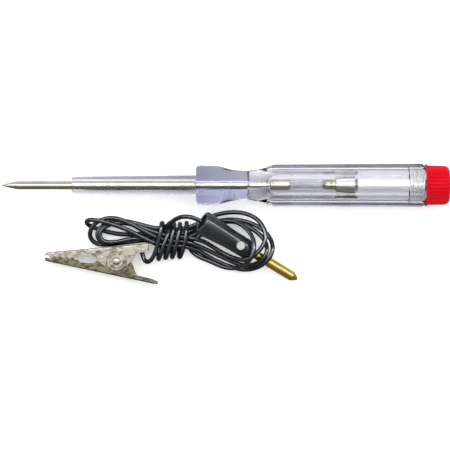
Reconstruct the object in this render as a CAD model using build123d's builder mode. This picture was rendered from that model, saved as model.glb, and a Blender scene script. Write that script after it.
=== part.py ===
from build123d import *
import os
from math import asin, cos, degrees, radians, sin

# Circuit test light: clear hexagonal handle with a needle probe and a festoon
# lamp, screw-on rear cap with a 4 mm lead socket, and a coiled lead that
# carries a 4 mm banana plug and a crocodile clip.
# Millimetres. X runs along the probe and handle (needle towards -X), Z is up.
# The origin is the centre of the mouth of the lead socket in the cap's rear.
# Outlines of turned pieces are rows of (x, radius), revolved about the axis.

# ---------------------------------------------------------------- dimensions
TABLE_Z = -8.30            # the surface everything rests on
FIT = 0.03                 # radial gap around pushed-in pieces
CAP_FIT = 0.04             # gap between the socket tube's steps and the end cap

# handle
NOSE_X = -101.3
HEX_X0 = -70.9
HEX_LOFT_X0 = HEX_X0 - 5.0
REAR_X = -9.70
HEX_R0 = 8.48              # across-corner radius before rounding, front of grip
HEX_R1 = 8.78              # and at the rear: the grip is drafted
TRIM_R = 8.9               # trimming outline clear of the grip's corners
CORNER_R = 1.1
BORE_R = 5.65
BORE_X0 = -80.8

# probe
TIP_X = -179.3
TIP_LEN = 6.8
ROD_R = 1.68
ROD_END_X = NOSE_X         # full-diameter rod ends level with the handle's nose
TANG_R = 1.2
TANG_END_X = -71.75
SLEEVE_X0 = -150.9
SLEEVE_X1 = NOSE_X + 1.0
SLEEVE_R0 = 3.45
SLEEVE_R1 = 3.95
SLEEVE_BORE_R = 1.73

# lamp
FERRULE_R = 3.6
FERRULE_X0, FERRULE_X1 = -71.7, -63.7
GLASS_R = 2.7
GLASS_WALL = 0.35
GLASS_BORE_R = GLASS_R - GLASS_WALL
GLASS_X0, GLASS_X1 = FERRULE_X1 + 0.05, -50.6
DOME_X = GLASS_X1 - 1.2    # the glass starts to close here
REAR_CAP_X0, REAR_CAP_X1 = GLASS_X1 + 0.04, -47.4
REAR_CAP_R = 3.35
LEAD_IN_R = 0.14
FILAMENT_R = 0.16

# sprung contact
PLUNGER_TIP_X = REAR_CAP_X1 + 0.05
PLUNGER_R = 3.3
PLUNGER_BORE_R = 1.9
PLUNGER_BORE_DEPTH = 2.5
COLLAR_X0, COLLAR_X1 = -45.7, -37.7
COLLAR_R = 5.4
COLLAR_BORE_R = PLUNGER_R + 0.02
CONTACT_SPRING_R = 3.3     # wire centreline
CONTACT_WIRE_R = 0.3
CONTACT_GAP = 0.08         # between the wire and the face at each end
CONTACT_TURNS = 8

# socket tube
TUBE_X0 = -37.0
TUBE_R = 4.5
TUBE_BORE_R = 3.9
SPRING_SHOULDER_X = -24.0
SOCKET_R = 2.05
SOCKET_DEPTH = 14.0
THREAD_PITCH = 1.0
THREAD_X0 = -15.3
THREAD_BAND_R = 5.38
RELIEF_R = 5.98            # bore of the handle at its thread
STEP_R = 4.4               # tube behind the thread band
STEP_X1 = -0.7
NECK_R = 3.0               # tube around the socket's mouth

# end cap
CAP_X0, CAP_X1 = REAR_X + 0.05, 0.0
CAP_R = 7.90
CAP_REAR_R = 7.78          # the cap tapers a little to the rear
CAP_RIM_R = 8.42
CAP_BORE_R = THREAD_BAND_R + 0.06
CAP_RIBS = 32
RIB_GROOVE = 0.62          # side of the square that cuts each groove
GROOVE_X0, GROOVE_X1 = CAP_X0 + 1.25, CAP_X1 - 1.3

# plug: lengths are measured from the tip of the pin towards the open end
PLUG_TILT = 15.0
PLUG_HEAD = 31.0
PLUG_PIN_R = 2.0
PLUG_TIP = (-60.72, -37.70, TABLE_Z + 2.05)
PLUG_PIN_LEN = 23.0
PLUG_SHANK_R = 1.8         # relieved shank behind the contact length
PLUG_CONTACT_END = 14.0
PLUG_FLANGE_R = 2.9
PLUG_CORE_R = 2.3          # part of the pin inside the sleeve
PLUG_CORE_END = 34.0
PLUG_CORE_BORE_R = PLUG_CORE_R + FIT
PLUG_WIRE_HOLE_R = 1.0
PLUG_LEN = 46.1
PLUG_R_FRONT = 3.9
PLUG_R_MOUTH = 4.9
PLUG_MOUTH_BORE_R = 3.2
PLUG_SLOT_WIDTH, PLUG_SLOT_LEN = 0.55, 12.5
PLUG_SCREW_S = 28.4
SCREW_R = 1.2
SCREW_HEAD_R = 1.7
SCREW_SLOT_WIDTH = 0.5

# clip
CLIP_PIVOT = (-133.12, -30.30)
CLIP_Z = TABLE_Z + 4.20
CLIP_TURN = -3.4           # jaw centreline against the X axis
SHEET = 0.6
BEND_R = 0.5
EAR_HALF = 3.25            # half width over the upper jaw's ears
LOWER_HALF = 2.55          # half width over the lower jaw's ears
NOSE_HALF = 2.0
RIVET_R = 1.2
RIVET_HEAD_R = 1.6
TORSION_R = 1.85           # torsion spring, wire centreline
TORSION_WIRE_R = 0.28
TORSION_H = 2.2
TORSION_TURNS = 3.5
TORSION_LEG_U = 10.5

# lead
CABLE_R = 0.9
CORE_R = 0.5

os.makedirs("parts", exist_ok=True)


# ------------------------------------------------------------------- helpers
def turned(*outline, plane=Plane.XY, axis=Axis.X):
    """Solid of revolution of a straight-sided outline."""
    with BuildPart() as solid:
        with BuildSketch(plane):
            with BuildLine():
                Polyline(*outline, close=True)
            make_face()
        revolve(axis=axis)
    return solid.part


def bent_wires(radius, *paths):
    """Round wires, each along a smooth curve through its points."""
    with BuildPart() as wires:
        for points in paths:
            with BuildLine():
                path = Spline(*points)
            with BuildSketch(Plane(path @ 0, z_dir=path % 0)):
                Circle(radius)
            sweep()
    return wires.part


def coil_spring(radius, wire_r, turns, height, base, direction):
    """Helical spring; radius and height are those of the wire's centreline."""
    with BuildPart() as spring:
        with BuildLine():
            coil = Helix(
                pitch=height / turns, height=height, radius=radius,
                center=base, direction=direction,
            )
        with BuildSketch(Plane(coil @ 0, z_dir=coil % 0)):
            Circle(wire_r)
        sweep(is_frenet=True)
    return spring.part


# ------------------------------------------------------------------ the probe
with BuildPart() as probe_rod:
    with BuildSketch(Plane.XY):
        with BuildLine():
            Line((TIP_X, 0), (TIP_X, 0.12))
            Spline(
                (TIP_X, 0.12), (TIP_X + 2.2, 0.72), (TIP_X + 4.6, 1.28), (TIP_X + TIP_LEN, ROD_R),
                tangents=[(1, 0.3), (1, 0.06)],
            )
            Polyline(
                (TIP_X + TIP_LEN, ROD_R), (ROD_END_X - 0.3, ROD_R), (ROD_END_X, ROD_R - 0.3),
                (ROD_END_X, TANG_R), (TANG_END_X, TANG_R), (TANG_END_X, 0), (TIP_X, 0),
            )
        make_face()
    revolve(axis=Axis.X)

# insulating sleeve, rounded at its front
with BuildPart() as probe_sleeve:
    with BuildSketch(Plane.XY):
        with BuildLine():
            Line((SLEEVE_X0, SLEEVE_BORE_R), (SLEEVE_X0, SLEEVE_R0 - 0.9))
            Spline(
                (SLEEVE_X0, SLEEVE_R0 - 0.9), (SLEEVE_X0 + 0.35, SLEEVE_R0 - 0.25),
                (SLEEVE_X0 + 1.3, SLEEVE_R0),
                tangents=[(0, 1), (1, 0.02)],
            )
            Polyline(
                (SLEEVE_X0 + 1.3, SLEEVE_R0), (NOSE_X - 6.0, SLEEVE_R1), (SLEEVE_X1, SLEEVE_R1),
                (SLEEVE_X1, SLEEVE_BORE_R), (SLEEVE_X0, SLEEVE_BORE_R),
            )
        make_face()
    revolve(axis=Axis.X)

# ----------------------------------------------------------------- the handle
# Drafted hexagon, flats facing up and down, that runs into a waisted round nose.
with BuildPart() as handle_body:
    with BuildSketch(Plane.YZ.offset(HEX_LOFT_X0)) as hex_front:
        RegularPolygon(HEX_R0 - 0.02, 6)
        fillet(hex_front.vertices(), CORNER_R)
    with BuildSketch(Plane.YZ.offset(REAR_X)) as hex_rear:
        RegularPolygon(HEX_R1, 6)
        fillet(hex_rear.vertices(), CORNER_R)
    loft(ruled=True)
    # the front of the grip is rounded down to the waist, the rear has a chamfered rim
    with BuildSketch(Plane.XY):
        with BuildLine():
            Spline(
                (HEX_X0 - 6.0, 6.45), (HEX_X0 - 3.2, 6.95), (HEX_X0 - 1.0, 7.75),
                (HEX_X0 + 1.2, 8.35), (HEX_X0 + 4.5, TRIM_R),
                tangents=[(1, 0.08), (1, 0.13)],
            )
            Polyline(
                (HEX_X0 + 4.5, TRIM_R), (REAR_X - 1.6, TRIM_R), (REAR_X, 7.75), (REAR_X, 0),
                (HEX_X0 - 6.0, 0), (HEX_X0 - 6.0, 6.45),
            )
        make_face()
    revolve(axis=Axis.X, mode=Mode.INTERSECT)
    # nose and waist
    with BuildSketch(Plane.XY):
        with BuildLine():
            Line((NOSE_X, 0), (NOSE_X, 6.6))
            Spline(
                (NOSE_X, 6.6), (NOSE_X + 0.45, 7.45), (NOSE_X + 1.8, 7.95),
                tangents=[(0.05, 1), (1, 0.06)],
            )
            Spline(
                (NOSE_X + 1.8, 7.95), (NOSE_X + 4.6, 7.86), (NOSE_X + 8.3, 7.82),
                (NOSE_X + 11.0, 7.15), (NOSE_X + 15.0, 6.15), (NOSE_X + 18.5, 5.86),
                (NOSE_X + 21.5, 5.88), (HEX_X0 - 5.9, 6.42),
                tangents=[(1, 0.02), (1, 0.12)],
            )
            Polyline(
                (HEX_X0 - 5.9, 6.42), (HEX_X0 - 4.9, 6.42), (HEX_X0 - 4.9, 0), (NOSE_X, 0),
            )
        make_face()
    revolve(axis=Axis.X)
    # pocket for the insulating sleeve, bore for the tang, and the lamp bore
    with BuildSketch(Plane.XY):
        with BuildLine():
            Polyline(
                (NOSE_X - 1, 0), (NOSE_X - 1, SLEEVE_R1 + FIT), (SLEEVE_X1 + FIT, SLEEVE_R1 + FIT),
                (SLEEVE_X1 + FIT, TANG_R + FIT), (BORE_X0, TANG_R + FIT), (BORE_X0, BORE_R - 0.8),
                (BORE_X0 + 0.8, BORE_R), (THREAD_X0 - 1.2, BORE_R), (THREAD_X0 - 0.8, RELIEF_R),
                (REAR_X - 0.4, RELIEF_R), (REAR_X, RELIEF_R + 0.4), (REAR_X + 1, RELIEF_R + 0.4),
                (REAR_X + 1, 0), close=True,
            )
        make_face()
    revolve(axis=Axis.X, mode=Mode.SUBTRACT)
    # female thread for the socket tube, right-hand, half a pitch from the male thread
    with BuildLine():
        crest = Helix(
            pitch=THREAD_PITCH, height=5.0, radius=RELIEF_R,
            center=(THREAD_X0 - THREAD_PITCH / 2, 0, 0), direction=(1, 0, 0),
        )
    with BuildSketch(Plane(crest @ 0, x_dir=(1, 0, 0), z_dir=crest % 0)):
        with BuildLine():
            Polyline((-0.22, 0.12), (0.22, 0.12), (0.07, -0.46), (-0.07, -0.46), close=True)
        make_face()
    sweep(is_frenet=True)

# ------------------------------------------------------------------- the lamp
lamp_front_cap = turned(
    (FERRULE_X0, 0), (FERRULE_X0, FERRULE_R - 0.4), (FERRULE_X0 + 0.4, FERRULE_R),
    (FERRULE_X0 + 0.9, FERRULE_R), (FERRULE_X0 + 1.1, FERRULE_R - 0.15),
    (FERRULE_X0 + 1.3, FERRULE_R), (FERRULE_X1 - 0.3, FERRULE_R), (FERRULE_X1, FERRULE_R - 0.3),
    (FERRULE_X1, GLASS_R - 0.2), (FERRULE_X1 - 0.8, GLASS_R - 0.2), (FERRULE_X1 - 0.8, 0),
)

with BuildPart() as lamp_glass:
    with BuildSketch(Plane.XY):
        with BuildLine():
            Polyline(
                (DOME_X, GLASS_R), (GLASS_X0 + 0.5, GLASS_R), (GLASS_X0, GLASS_R - 0.2),
                (GLASS_X0, GLASS_BORE_R - 0.1), (GLASS_X0 + 0.5, GLASS_BORE_R),
                (DOME_X, GLASS_BORE_R),
            )
            TangentArc((DOME_X, GLASS_BORE_R), (GLASS_X1, GLASS_BORE_R - 0.45), tangent=(1, 0))
            Line((GLASS_X1, GLASS_BORE_R - 0.45), (GLASS_X1, GLASS_R - 0.35))
            TangentArc((DOME_X, GLASS_R), (GLASS_X1, GLASS_R - 0.35), tangent=(1, 0))
        make_face()
    revolve(axis=Axis.X)

with BuildPart() as lamp_rear_cap:
    with BuildSketch(Plane.XY):
        with BuildLine():
            Line((REAR_CAP_X0, 0), (REAR_CAP_X0, 1.75))
            Spline(
                (REAR_CAP_X0, 1.75), (GLASS_X1 + 0.62, 2.85), (GLASS_X1 + 1.9, REAR_CAP_R),
                tangents=[(0.15, 1), (1, 0.02)],
            )
            Polyline(
                (GLASS_X1 + 1.9, REAR_CAP_R), (REAR_CAP_X1 - 0.2, REAR_CAP_R),
                (REAR_CAP_X1, REAR_CAP_R - 0.2), (REAR_CAP_X1, 0), (REAR_CAP_X0, 0),
            )
        make_face()
    revolve(axis=Axis.X)

# two lead-in wires that run from the caps to the filament's ends
lamp_wires = bent_wires(
    LEAD_IN_R,
    [(GLASS_X0 - 0.7, 0.9, 0.1), (GLASS_X0 + 1.5, 1.15, 0.15), (GLASS_X0 + 4.4, 0.75, 0.6)],
    [(GLASS_X1 - 0.05, -0.9, 0.0), (GLASS_X1 - 1.8, -1.1, 0.2), (GLASS_X1 - 4.2, -0.75, 0.6)],
)

# bowed filament
FILAMENT_X0, FILAMENT_X1 = GLASS_X0 + 4.55, GLASS_X1 - 4.35
lamp_filament = bent_wires(
    FILAMENT_R,
    [
        (FILAMENT_X0, 0.72, 0.66), ((FILAMENT_X0 + FILAMENT_X1) / 2, 0, 1.35),
        (FILAMENT_X1, -0.72, 0.66),
    ],
)

# ---------------------------------------------------------- the sprung contact
PLUNGER_BORE_X = COLLAR_X1 - PLUNGER_BORE_DEPTH
contact_plunger = turned(
    (PLUNGER_TIP_X, 0), (PLUNGER_TIP_X, PLUNGER_R - 0.2), (PLUNGER_TIP_X + 0.2, PLUNGER_R),
    (COLLAR_X1, PLUNGER_R), (COLLAR_X1, PLUNGER_BORE_R), (PLUNGER_BORE_X, PLUNGER_BORE_R),
    (PLUNGER_BORE_X, 0),
)

contact_collar = turned(
    (COLLAR_X0, COLLAR_BORE_R), (COLLAR_X0, 4.75), (COLLAR_X0 + 0.35, 5.0),
    (COLLAR_X0 + 4.6, COLLAR_R), (COLLAR_X1 - 0.3, COLLAR_R), (COLLAR_X1, COLLAR_R - 0.3),
    (COLLAR_X1, COLLAR_BORE_R),
)

contact_spring = coil_spring(
    radius=CONTACT_SPRING_R, wire_r=CONTACT_WIRE_R, turns=CONTACT_TURNS,
    height=SPRING_SHOULDER_X - COLLAR_X1 - 2 * (CONTACT_WIRE_R + CONTACT_GAP),
    base=(COLLAR_X1 + CONTACT_WIRE_R + CONTACT_GAP, 0, 0), direction=(1, 0, 0),
)

# -------------------------------------------------------------- the rear cap
with BuildPart() as socket_tube:
    with BuildSketch(Plane.XY):
        with BuildLine():
            Polyline(
                (TUBE_X0, TUBE_BORE_R), (TUBE_X0, TUBE_R - 0.25), (TUBE_X0 + 0.25, TUBE_R),
                (THREAD_X0 - 0.9, TUBE_R), (THREAD_X0 - 0.4, THREAD_BAND_R),
                (CAP_X0 + 0.2, THREAD_BAND_R), (CAP_X0 + 0.2, STEP_R), (STEP_X1, STEP_R),
                (STEP_X1, NECK_R), (0, NECK_R), (0, SOCKET_R), (-SOCKET_DEPTH, SOCKET_R),
                (-SOCKET_DEPTH - 1.2, 0), (SPRING_SHOULDER_X, 0),
                (SPRING_SHOULDER_X, TUBE_BORE_R), close=True,
            )
        make_face()
    revolve(axis=Axis.X)
    # male thread on the band
    with BuildLine():
        ridge = Helix(
            pitch=THREAD_PITCH, height=4.4, radius=THREAD_BAND_R,
            center=(THREAD_X0, 0, 0), direction=(1, 0, 0),
        )
    with BuildSketch(Plane(ridge @ 0, x_dir=(1, 0, 0), z_dir=ridge % 0)):
        with BuildLine():
            Polyline((-0.33, -0.15), (-0.07, 0.46), (0.07, 0.46), (0.33, -0.15), close=True)
        make_face()
    sweep(is_frenet=True)

with BuildPart() as end_cap:
    with BuildSketch(Plane.XY):
        with BuildLine():
            Polyline(
                (CAP_X0, CAP_BORE_R), (CAP_X0, CAP_RIM_R - 0.12), (CAP_X0 + 0.12, CAP_RIM_R),
                (CAP_X0 + 0.5, CAP_RIM_R - 0.05), (CAP_X0 + 1.15, CAP_R),
                (CAP_X1 - 2.1, CAP_REAR_R),
            )
            Spline(
                (CAP_X1 - 2.1, CAP_REAR_R), (CAP_X1 - 0.62, CAP_REAR_R - 0.60),
                (CAP_X1, CAP_REAR_R - 2.0),
                tangents=[(1, -0.02), (0.02, -1)],
            )
            Polyline(
                (CAP_X1, CAP_REAR_R - 2.0), (CAP_X1, NECK_R + CAP_FIT),
                (STEP_X1 + CAP_FIT, NECK_R + CAP_FIT), (STEP_X1 + CAP_FIT, STEP_R + CAP_FIT),
                (CAP_X0 + 0.2 + CAP_FIT, STEP_R + CAP_FIT), (CAP_X0 + 0.2 + CAP_FIT, CAP_BORE_R),
                (CAP_X0, CAP_BORE_R),
            )
        make_face()
    revolve(axis=Axis.X)
    # finger ribs: a groove between each pair
    with BuildSketch(Plane.YZ.offset(GROOVE_X0)):
        with PolarLocations(CAP_R + 0.12, CAP_RIBS):
            Rectangle(RIB_GROOVE, RIB_GROOVE, rotation=45)
    extrude(amount=GROOVE_X1 - GROOVE_X0, mode=Mode.SUBTRACT)

# ------------------------------------------------------------------- the plug
# plug_dir runs from the tip to the open end, plug_up is square to it
plug_dir = Vector(
    -cos(radians(PLUG_HEAD)) * cos(radians(PLUG_TILT)),
    sin(radians(PLUG_HEAD)) * cos(radians(PLUG_TILT)),
    sin(radians(PLUG_TILT)),
)
plug_up = Vector(
    cos(radians(PLUG_HEAD)) * sin(radians(PLUG_TILT)),
    -sin(radians(PLUG_HEAD)) * sin(radians(PLUG_TILT)),
    cos(radians(PLUG_TILT)),
)
PLUG_PROFILE = Plane(origin=PLUG_TIP, x_dir=plug_dir, z_dir=plug_dir.cross(plug_up))
PLUG_AXIS = Axis(PLUG_TIP, (plug_dir.X, plug_dir.Y, plug_dir.Z))
screw_at = Vector(*PLUG_TIP) + plug_dir * PLUG_SCREW_S

with BuildPart() as plug_pin:
    with BuildSketch(PLUG_PROFILE):
        with BuildLine():
            Polyline(
                (0, 0), (0, 0.5), (1.7, 1.55), (2.6, PLUG_PIN_R), (PLUG_CONTACT_END, PLUG_PIN_R),
                (PLUG_CONTACT_END, PLUG_SHANK_R), (PLUG_PIN_LEN - 0.5, PLUG_SHANK_R),
                (PLUG_PIN_LEN - 0.5, PLUG_FLANGE_R), (PLUG_PIN_LEN - 0.02, PLUG_FLANGE_R),
                (PLUG_PIN_LEN - 0.02, PLUG_CORE_R), (PLUG_CORE_END, PLUG_CORE_R),
                (PLUG_CORE_END, PLUG_WIRE_HOLE_R), (27.4, PLUG_WIRE_HOLE_R), (27.0, 0),
                close=True,
            )
        make_face()
    revolve(axis=PLUG_AXIS)
    # expansion slot across the front of the pin
    with BuildSketch(Plane(origin=PLUG_TIP, x_dir=plug_up, z_dir=plug_dir)):
        Rectangle(PLUG_SLOT_WIDTH, 6.0)
    extrude(amount=PLUG_SLOT_LEN, mode=Mode.SUBTRACT)
    # hole for the clamp screw
    with BuildSketch(Plane(origin=screw_at, z_dir=plug_up)):
        Circle(SCREW_R + 0.05)
    extrude(amount=4.0, mode=Mode.SUBTRACT)

with BuildPart() as plug_sleeve:
    with BuildSketch(PLUG_PROFILE):
        with BuildLine():
            Polyline(
                (PLUG_PIN_LEN, PLUG_CORE_BORE_R), (PLUG_PIN_LEN, PLUG_R_FRONT - 0.4),
                (PLUG_PIN_LEN + 0.4, PLUG_R_FRONT), (31.0, PLUG_R_FRONT + 0.05),
            )
            Spline(
                (31.0, PLUG_R_FRONT + 0.05), (36.0, PLUG_R_FRONT + 0.35),
                (41.0, PLUG_R_MOUTH - 0.25), (PLUG_LEN - 0.8, PLUG_R_MOUTH),
                tangents=[(1, 0.02), (1, 0.02)],
            )
            Polyline(
                (PLUG_LEN - 0.8, PLUG_R_MOUTH), (PLUG_LEN - 0.25, PLUG_R_MOUTH - 0.1),
                (PLUG_LEN, PLUG_R_MOUTH - 0.4), (PLUG_LEN, PLUG_MOUTH_BORE_R + 0.3),
                (PLUG_LEN - 0.3, PLUG_MOUTH_BORE_R), (PLUG_CORE_END + 0.05, PLUG_MOUTH_BORE_R),
                (PLUG_CORE_END + 0.05, PLUG_CORE_BORE_R), (PLUG_PIN_LEN, PLUG_CORE_BORE_R),
            )
        make_face()
    revolve(axis=PLUG_AXIS)
    # hole for the screw's head
    with BuildSketch(Plane(origin=screw_at, z_dir=plug_up)):
        Circle(SCREW_HEAD_R + 0.1)
    extrude(amount=6.0, mode=Mode.SUBTRACT)

# shank, head and driver slot
with BuildPart() as plug_screw:
    with BuildSketch(Plane(origin=screw_at + plug_up * 0.66, z_dir=plug_up)):
        Circle(SCREW_R)
    extrude(amount=1.75)
    with BuildSketch(Plane(origin=screw_at + plug_up * 2.38, z_dir=plug_up)):
        Circle(SCREW_HEAD_R)
    extrude(amount=1.5)
    with BuildSketch(Plane(origin=screw_at + plug_up * 3.35, x_dir=plug_dir, z_dir=plug_up)):
        Rectangle(4.0, SCREW_SLOT_WIDTH, rotation=35)
    extrude(amount=2.0, mode=Mode.SUBTRACT)

# ------------------------------------------------------------------- the clip
# Each jaw is folded sheet: a spine with two side walls that carry the teeth and
# the ears. u runs from the pivot towards the tails, v towards the upper jaw.
# Outlines in (u, v) are those of the upper jaw; the lower jaw mirrors v.
clip_u = Vector(cos(radians(CLIP_TURN)), sin(radians(CLIP_TURN)), 0)
clip_v = Vector(-sin(radians(CLIP_TURN)), cos(radians(CLIP_TURN)), 0)
clip_centre = Vector(*CLIP_PIVOT, CLIP_Z)
CLIP_SIDE = Plane(origin=clip_centre, x_dir=clip_u, z_dir=(0, 0, 1))
# plan of the clip seen along v: local x is u, local y is the width
CLIP_PLAN = Plane(origin=clip_centre, x_dir=clip_u, z_dir=clip_v)

NOSE_U = -28.3             # front end of the straight spine
HOLLOW_U = -26.8           # solid ahead of this
EAR_U = -8.6               # walls run parallel behind this

TOOTH_PITCH = 2.5
FLUTES = 9
FLUTE_PITCH = TOOTH_PITCH / 2
FLUTE_WIDTH = 0.62
FLUTE_DEPTH = 0.16
FLUTE_V0 = 0.95            # tooth end of each flute
FLUTE_SPINE_GAP = 0.75     # from the other end to the outside of the spine


def spine_v(u):
    """Height of the spine's outer face."""
    return 1.75 + (u - NOSE_U) * 0.1490


TEETH = []                 # root and point of each tooth
for k in range(5):
    root_u = -27.9 + TOOTH_PITCH * k
    TEETH += [(root_u, 0.80), (root_u + TOOTH_PITCH / 2, -0.38)]
TEETH.append((-17.9, 0.80))  # the outline doubles back along the last flank

JAW_TIP = (-28.9, 1.35)
JAW_FRONT = [JAW_TIP, (-28.6, 0.35)]
JAW_THROAT = [(-16.2, 0.35), (-14.7, 1.55), (-9.3, 1.55), (-8.35, 0.7)]
EAR = [(-8.35, 0.7), (-5.4, -1.75), (-1.4, -3.15), (3.0, -2.2), (6.0, 0.7), (7.2, 3.3)]
UPPER_TAIL_U = 12.4
UPPER_TAIL = [
    (8.0, 3.95), (UPPER_TAIL_U - 0.5, 4.15), (UPPER_TAIL_U, 4.7),
    (UPPER_TAIL_U, spine_v(UPPER_TAIL_U)),
]
LOWER_TAIL_U = 15.0
LOWER_TAIL = [
    (8.2, 5.3), (LOWER_TAIL_U - 0.6, 6.4), (LOWER_TAIL_U + 1.8, 7.3), (LOWER_TAIL_U + 2.1, 8.3),
    (LOWER_TAIL_U, spine_v(LOWER_TAIL_U)),
]


def both_sides(half_outline):
    """Closed plan outline from rows of (u, half width)."""
    return [(u, -w) for u, w in half_outline] + [(u, w) for u, w in reversed(half_outline)]


def bend_edges(part, sign):
    """The long outer edges where the spine folds into the walls."""
    found = []
    for e in part.edges():
        a, b = CLIP_SIDE.to_local_coords(e @ 0), CLIP_SIDE.to_local_coords(e @ 1)
        on_spine = all(abs(p.Y - sign * spine_v(p.X)) < 0.02 for p in (a, b))
        if abs(a.X - b.X) > 3 and on_spine:
            found.append(e)
    return found


def build_jaw(sign, ear_half, tooth_shift, tail, rear_u, hole_r, ringed):
    """sign is 1 for the upper jaw, -1 for the lower; rear_u is clear of its tail."""
    def placed(points, shift=0):
        return [(u + shift, sign * v) for u, v in points]

    with BuildPart() as hollow:
        with BuildSketch(CLIP_SIDE):
            with BuildLine():
                Polyline(
                    *placed([
                        (HOLLOW_U, spine_v(HOLLOW_U) - SHEET), (rear_u, spine_v(rear_u) - SHEET),
                        (rear_u, -6), (HOLLOW_U, -6),
                    ]),
                    close=True,
                )
            make_face()
        extrude(amount=10, both=True)
        with BuildSketch(CLIP_PLAN):
            with BuildLine():
                Polyline(
                    *both_sides([
                        (HOLLOW_U, NOSE_HALF - SHEET), (EAR_U, ear_half - SHEET),
                        (rear_u, ear_half - SHEET),
                    ]),
                    close=True,
                )
            make_face()
        extrude(amount=12, both=True, mode=Mode.INTERSECT)

    with BuildPart() as jaw:
        with BuildSketch(CLIP_SIDE):
            with BuildLine():
                Polyline(*placed(JAW_FRONT), *placed(TEETH, tooth_shift), *placed(JAW_THROAT))
                Spline(*placed(EAR))
                Polyline(*placed([EAR[-1], *tail, (NOSE_U, spine_v(NOSE_U)), JAW_TIP]))
            make_face()
        extrude(amount=ear_half, both=True)
        with BuildSketch(CLIP_PLAN):
            with BuildLine():
                Polyline(
                    *both_sides([
                        (-29.5, NOSE_HALF - 0.5), (NOSE_U, NOSE_HALF), (EAR_U, ear_half),
                        (rear_u, ear_half),
                    ]),
                    close=True,
                )
            make_face()
        extrude(amount=12, both=True, mode=Mode.INTERSECT)
        fillet(bend_edges(jaw.part, sign), BEND_R)
        add(hollow.part, mode=Mode.SUBTRACT)
        # pressed flutes down the walls behind the teeth
        for k in range(FLUTES):
            flute_u = -26.6 + FLUTE_PITCH * k
            flute_v1 = spine_v(flute_u) - FLUTE_SPINE_GAP
            wall_half = NOSE_HALF + (flute_u - NOSE_U) * (ear_half - NOSE_HALF) / (EAR_U - NOSE_U)
            for side in (1, -1):
                with BuildSketch(CLIP_SIDE.offset(side * (wall_half - FLUTE_DEPTH))):
                    with Locations((flute_u, sign * (FLUTE_V0 + flute_v1) / 2)):
                        Rectangle(FLUTE_WIDTH, flute_v1 - FLUTE_V0)
                extrude(amount=side * 1.0, mode=Mode.SUBTRACT)
        # a raised ring around each rivet hole
        if ringed:
            for side in (1, -1):
                with BuildSketch(CLIP_SIDE.offset(side * (ear_half - 0.05))):
                    Circle(4.1)
                    Circle(2.7, mode=Mode.SUBTRACT)
                extrude(amount=side * 0.35, taper=40)
        with BuildSketch(CLIP_SIDE):
            Circle(hole_r)
        extrude(amount=6, both=True, mode=Mode.SUBTRACT)
    return jaw.part


clip_upper_jaw = build_jaw(
    sign=1, ear_half=EAR_HALF, tooth_shift=0, tail=UPPER_TAIL, rear_u=16.0,
    hole_r=RIVET_R + 0.02, ringed=True,
)
clip_lower_jaw = build_jaw(
    sign=-1, ear_half=LOWER_HALF, tooth_shift=TOOTH_PITCH / 2, tail=LOWER_TAIL, rear_u=18.0,
    hole_r=RIVET_R + 0.06, ringed=False,
)

# rivet: rows of (height, radius) from the bottom head to the top head
RIVET_HALF = EAR_HALF + 0.02
clip_rivet = turned(
    (-EAR_HALF - 0.85, 0), (-EAR_HALF - 0.75, 0.8), (-EAR_HALF - 0.45, 1.4),
    (-RIVET_HALF, RIVET_HEAD_R), (-RIVET_HALF, RIVET_R),
    (RIVET_HALF, RIVET_R), (RIVET_HALF, RIVET_HEAD_R),
    (EAR_HALF + 0.45, 1.4), (EAR_HALF + 0.75, 0.8), (EAR_HALF + 0.85, 0),
    plane=Plane(origin=clip_centre, x_dir=(0, 0, 1), z_dir=(0, 1, 0)),
    axis=Axis((*CLIP_PIVOT, 0), (0, 0, 1)),
)

# torsion spring on the rivet, one leg under each spine
torsion_coil = coil_spring(
    radius=TORSION_R, wire_r=TORSION_WIRE_R, turns=TORSION_TURNS, height=TORSION_H,
    base=(*CLIP_PIVOT, CLIP_Z - TORSION_H / 2), direction=(0, 0, 1),
)
leg_end_v = spine_v(TORSION_LEG_U) - SHEET - TORSION_WIRE_R - 0.12
with BuildPart() as clip_spring:
    for side in (1, -1):
        coil_end = Vector(*CLIP_PIVOT, CLIP_Z + side * TORSION_H / 2)
        leg_start = coil_end + clip_v * (side * TORSION_R)
        with BuildLine():
            leg = Spline(
                leg_start,
                leg_start + clip_u * 2.6 + clip_v * (side * 0.5),
                coil_end + clip_u * TORSION_LEG_U + clip_v * (side * leg_end_v),
            )
        with BuildSketch(Plane(leg @ 0, z_dir=leg % 0)):
            Circle(TORSION_WIRE_R)
        sweep()
    add(torsion_coil)

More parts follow.
